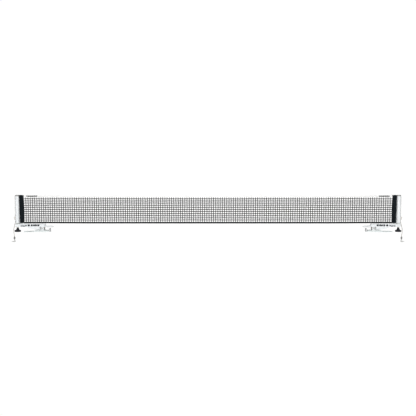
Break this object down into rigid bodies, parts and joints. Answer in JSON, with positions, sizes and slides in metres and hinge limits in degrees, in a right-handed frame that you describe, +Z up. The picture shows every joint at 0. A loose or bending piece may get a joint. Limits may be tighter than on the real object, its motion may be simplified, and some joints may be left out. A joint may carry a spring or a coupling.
{
  "type": "table tennis net set",
  "caption": "Table tennis net on two white posts, each on a sprung lever clamp for the table edge, with a height knob below and a tension cord hanging at each end.",
  "frame": {"origin": "middle of the net line on the playing surface: z = 0 is the top of the table under the upper jaw pads", "axes": "+X along the net, -Y the side shown as the front, +Z up"},
  "size_m": [1.8748, 0.038, 0.2255],
  "materials": {
    "white_paint": "smooth white powder coat",
    "zinc_steel": "zinc plated pressed steel",
    "bright_steel": "turned bright steel",
    "spring_steel": "oil blackened spring wire",
    "grey_rubber": "matt moulded rubber",
    "black_plastic": "moulded black plastic, fine texture",
    "light_grey_plastic": "moulded light grey plastic, satin",
    "dark_grey_plastic": "moulded dark grey plastic",
    "nylon": "natural nylon",
    "brass": "turned brass",
    "zinc_casting": "tumbled zinc casting",
    "black_fabric": "black woven polyester",
    "beige_cord": "braided cord",
    "net_yarn": "knotted black nylon twine",
    "white_tape": "white woven cotton tape",
    "black_band": "black woven binding"
  },
  "bodies": {
    "clamp_frames": {"guide_screws": "bright_steel", "left_base_plate": "zinc_steel", "left_clamp_arm": "white_paint", "left_guide_block": "nylon", "left_pivot_pin": "bright_steel", "left_pivot_spacers": "bright_steel", "left_thrust_washer": "nylon", "left_torsion_spring": "spring_steel", "left_upper_jaw_pad": "grey_rubber", "left_upper_jaw_plate": "white_paint", "pivot_clips": "bright_steel", "right_base_plate": "zinc_steel", "right_clamp_arm": "white_paint", "right_guide_block": "nylon", "right_pivot_pin": "bright_steel", "right_pivot_spacers": "bright_steel", "right_thrust_washer": "nylon", "right_torsion_spring": "spring_steel", "right_upper_jaw_pad": "grey_rubber", "right_upper_jaw_plate": "white_paint"},
    "net_carrier": {"anchor_rivets": "white_paint", "bottom_band": "black_band", "cleat_rivets": "bright_steel", "left_cord_bead": "dark_grey_plastic", "left_cord_cleat": "zinc_casting", "left_cord_hook": "bright_steel", "left_cord_tail": "beige_cord", "left_height_rod": "bright_steel", "left_net_rod": "bright_steel", "left_net_sleeve": "black_fabric", "left_post": "white_paint", "left_post_cap": "light_grey_plastic", "left_post_foot": "zinc_steel", "left_rod_anchor": "zinc_casting", "net_mesh": "net_yarn", "right_cord_bead": "dark_grey_plastic", "right_cord_cleat": "zinc_casting", "right_cord_hook": "bright_steel", "right_cord_tail": "beige_cord", "right_height_rod": "bright_steel", "right_net_rod": "bright_steel", "right_net_sleeve": "black_fabric", "right_post": "white_paint", "right_post_cap": "light_grey_plastic", "right_post_foot": "zinc_steel", "right_rod_anchor": "zinc_casting", "top_cord": "beige_cord", "top_tape": "white_tape"},
    "left_lever_body": {"left_lever": "zinc_steel", "left_lower_jaw_pad": "grey_rubber"},
    "right_lever_body": {"right_lever": "zinc_steel", "right_lower_jaw_pad": "grey_rubber"},
    "left_knob_body": {"left_bush_circlip": "bright_steel", "left_height_knob": "black_plastic", "left_knob_bush": "brass"},
    "right_knob_body": {"right_bush_circlip": "bright_steel", "right_height_knob": "black_plastic", "right_knob_bush": "brass"}
  },
  "joints": [
    {"name": "net_height", "type": "slide", "parent": "clamp_frames", "child": "net_carrier", "axis": [0, 0, 1], "range_m": [-0.0025, 0.01]},
    {"name": "left_lever_pivot", "type": "hinge", "parent": "clamp_frames", "child": "left_lever_body", "pos_m": [-0.788, 0, -0.005], "axis": [0, 1, 0], "range_deg": [0, 19], "stiffness_Nm_per_rad": 2.4, "springref_deg": -17.19, "deforming": ["left_torsion_spring"]},
    {"name": "right_lever_pivot", "type": "hinge", "parent": "clamp_frames", "child": "right_lever_body", "pos_m": [0.788, 0, -0.005], "axis": [0, -1, 0], "range_deg": [0, 19], "stiffness_Nm_per_rad": 2.4, "springref_deg": -17.19, "deforming": ["right_torsion_spring"]},
    {"name": "left_knob_turn", "type": "hinge", "parent": "clamp_frames", "child": "left_knob_body", "pos_m": [-0.90625, 0, -0.015], "axis": [0, 0, -1], "range_deg": [-901, 3601]},
    {"name": "right_knob_turn", "type": "hinge", "parent": "clamp_frames", "child": "right_knob_body", "pos_m": [0.90625, 0, -0.015], "axis": [0, 0, -1], "range_deg": [-901, 3601]}
  ],
  "couplings": [
    {"joint": "left_knob_turn", "follows": "net_height", "rad_per_m": 6283.2},
    {"joint": "right_knob_turn", "follows": "net_height", "rad_per_m": 6283.2}
  ]
}
